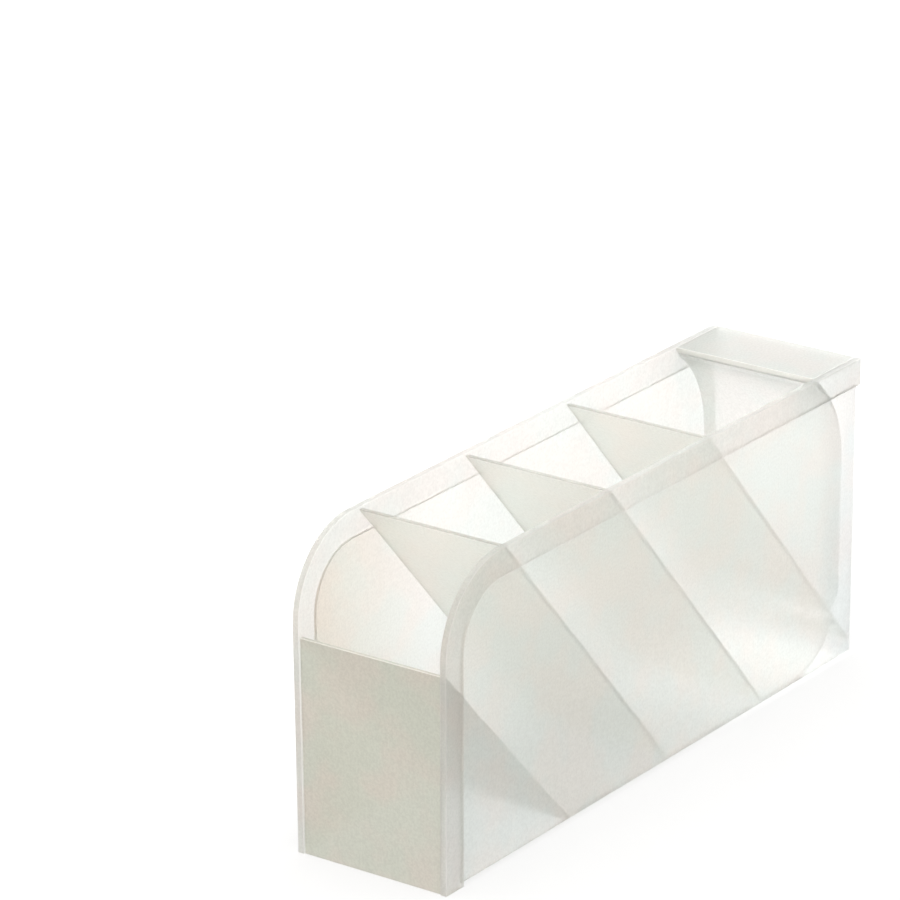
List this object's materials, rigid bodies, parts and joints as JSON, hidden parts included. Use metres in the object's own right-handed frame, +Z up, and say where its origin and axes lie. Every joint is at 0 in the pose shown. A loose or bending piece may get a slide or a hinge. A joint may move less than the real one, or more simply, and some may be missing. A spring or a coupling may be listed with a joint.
{
  "type": "desk organizer",
  "caption": "Narrow frosted-plastic pen organizer with slanted compartments, a low front wall, a rounded open front corner and a closed strip over the rear end.",
  "frame": {"origin": "centre of the bounding box on the plane that the organizer stands on", "axes": "+X from the low front wall to the closed rear end, +Y to the left side wall, +Z up"},
  "size_m": [0.2, 0.05, 0.09],
  "materials": {
    "frosted_plastic": "translucent milky white polypropylene, fine matt moulded surface with a soft sheen"
  },
  "bodies": {
    "root": {"left_side_wall": "frosted_plastic", "right_side_wall": "frosted_plastic", "front_wall": "frosted_plastic", "front_ramp": "frosted_plastic", "front_divider": "frosted_plastic", "middle_divider": "frosted_plastic", "rear_divider": "frosted_plastic", "floor_plate": "frosted_plastic", "rear_wall": "frosted_plastic", "top_bridge": "frosted_plastic"}
  },
  "joints": []
}
